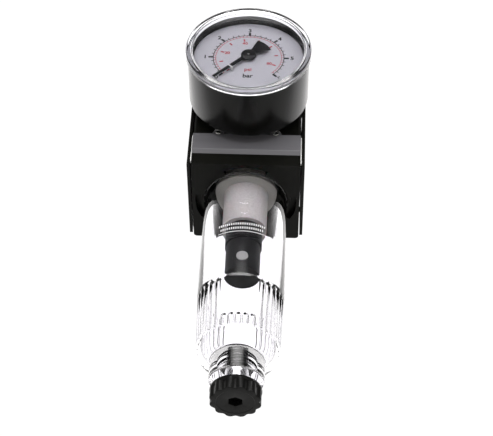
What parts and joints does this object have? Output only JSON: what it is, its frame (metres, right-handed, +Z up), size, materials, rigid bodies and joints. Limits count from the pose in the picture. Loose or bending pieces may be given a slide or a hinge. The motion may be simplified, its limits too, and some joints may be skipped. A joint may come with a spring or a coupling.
{
  "type": "air pressure regulator",
  "caption": "Compact modular compressed-air regulator with a clear filter bowl below, a dial gauge on the front and an adjusting knob on top, with working internals.",
  "frame": {"origin": "foot of the bracket neck, on the common axis of the bowl, the springs and the knob", "axes": "+Z up along the bracket neck towards the knob, -Y towards the gauge, +X towards the outlet port"},
  "size_m": [0.051, 0.0792, 0.1979],
  "materials": {
    "block": "satin black",
    "plate": "satin black",
    "black_screw": "blackened",
    "label": "satin grey",
    "steel": "plain",
    "bonnet": "moulded black",
    "rubber": "matt",
    "alloy": "turned",
    "brass": "turned",
    "knob": "moulded black",
    "knob_cap": "moulded grey",
    "nylon": "moulded off-white",
    "deflector": "moulded light grey",
    "element": "porous white",
    "baffle": "moulded dark grey",
    "plug_grey": "moulded grey",
    "clear_bowl": "clear polycarbonate",
    "clear_lens": "clear polycarbonate",
    "drain": "moulded black",
    "gauge_case": "moulded black",
    "dial": "printed white",
    "pointer": "black",
    "ptfe": "white"
  },
  "bodies": {
    "block": {"housing": "block", "left_plate": "plate", "right_plate": "plate", "plate_screws": "black_screw", "label_bar": "label", "label_screws": "steel", "bonnet": "bonnet", "bonnet_screws": "steel", "thrust_washer": "brass", "valve_seat": "brass", "valve_guide": "nylon", "deflector": "deflector", "filter_element": "element", "baffle_cup": "baffle", "cup_plug": "plug_grey", "gauge_case": "gauge_case", "gauge_lens": "clear_lens", "gauge_dial": "dial", "pointer_stop": "steel", "movement_frame": "brass", "bourdon_tube": "brass", "gauge_stem": "brass", "gauge_seal": "ptfe", "port_plug": "black_screw", "plug_seal": "rubber"},
    "screw": {"adjusting_screw": "steel"},
    "knob": {"adjusting_knob": "knob", "knob_cap": "knob_cap"},
    "spring_carrier": {"spring_seat": "nylon", "main_spring": "steel"},
    "membrane": {"diaphragm": "rubber", "diaphragm_plate": "alloy", "relief_seat": "brass"},
    "poppet": {"valve_poppet": "brass", "poppet_seal": "rubber", "valve_spring": "steel"},
    "bowl": {"bowl": "clear_bowl", "bowl_oring": "rubber"},
    "drain_valve": {"drain_stem": "drain", "drain_oring": "rubber"},
    "drain_turner": {"drain_knob": "drain"},
    "needle": {"pointer": "pointer", "pointer_arbor": "brass"},
    "sector": {"sector_gear": "brass"},
    "link": {"tube_link": "brass"}
  },
  "joints": [
    {"name": "adjust_turn", "type": "hinge", "parent": "block", "child": "screw", "pos_m": [0, 0, 0.02], "axis": [0, 0, -1], "range_deg": [0, 2160]},
    {"name": "knob_lock", "type": "slide", "parent": "screw", "child": "knob", "axis": [0, 0, 1], "range_m": [0, 0.003]},
    {"name": "spring_seat_travel", "type": "slide", "parent": "block", "child": "spring_carrier", "axis": [0, 0, -1], "range_m": [0, 0.00601], "stiffness_N_per_m": 8, "springref_m": -0.01, "deforming": ["main_spring"]},
    {"name": "diaphragm_travel", "type": "slide", "parent": "block", "child": "membrane", "axis": [0, 0, -1], "range_m": [0, 0.0015], "stiffness_N_per_m": 2000, "springref_m": -0.002, "deforming": ["diaphragm"]},
    {"name": "valve_lift", "type": "slide", "parent": "block", "child": "poppet", "axis": [0, 0, -1], "range_m": [0, 0.0015], "deforming": ["valve_spring"]},
    {"name": "bowl_turn", "type": "hinge", "parent": "block", "child": "bowl", "pos_m": [0, 0, -0.058], "axis": [0, 0, -1], "range_deg": [0, 45]},
    {"name": "drain_lift", "type": "slide", "parent": "bowl", "child": "drain_valve", "axis": [0, 0, 1], "range_m": [0, 0.0012]},
    {"name": "drain_turn", "type": "hinge", "parent": "drain_valve", "child": "drain_turner", "pos_m": [0, 0, -0.158], "axis": [0, 0, 1], "range_deg": [0, 270]},
    {"name": "needle_turn", "type": "hinge", "parent": "block", "child": "needle", "pos_m": [0, -0.0504, -0.0216], "axis": [0, 1, 0], "range_deg": [0, 270], "stiffness_Nm_per_rad": 0.00005, "springref_deg": -57.3},
    {"name": "sector_swing", "type": "hinge", "parent": "block", "child": "sector", "pos_m": [0, -0.0394, -0.0356], "axis": [0, 1, 0], "range_deg": [-45.01, 0]},
    {"name": "link_turn", "type": "hinge", "parent": "sector", "child": "link", "pos_m": [0.00146, -0.0394, -0.04038], "axis": [0, 1, 0], "range_deg": [0, 45.01]}
  ],
  "couplings": [
    {"joint": "spring_seat_travel", "follows": "adjust_turn", "m_per_rad": 0.00015915},
    {"joint": "valve_lift", "follows": "diaphragm_travel", "ratio": 1},
    {"joint": "sector_swing", "follows": "needle_turn", "ratio": -0.16667},
    {"joint": "link_turn", "follows": "needle_turn", "ratio": 0.16667}
  ]
}
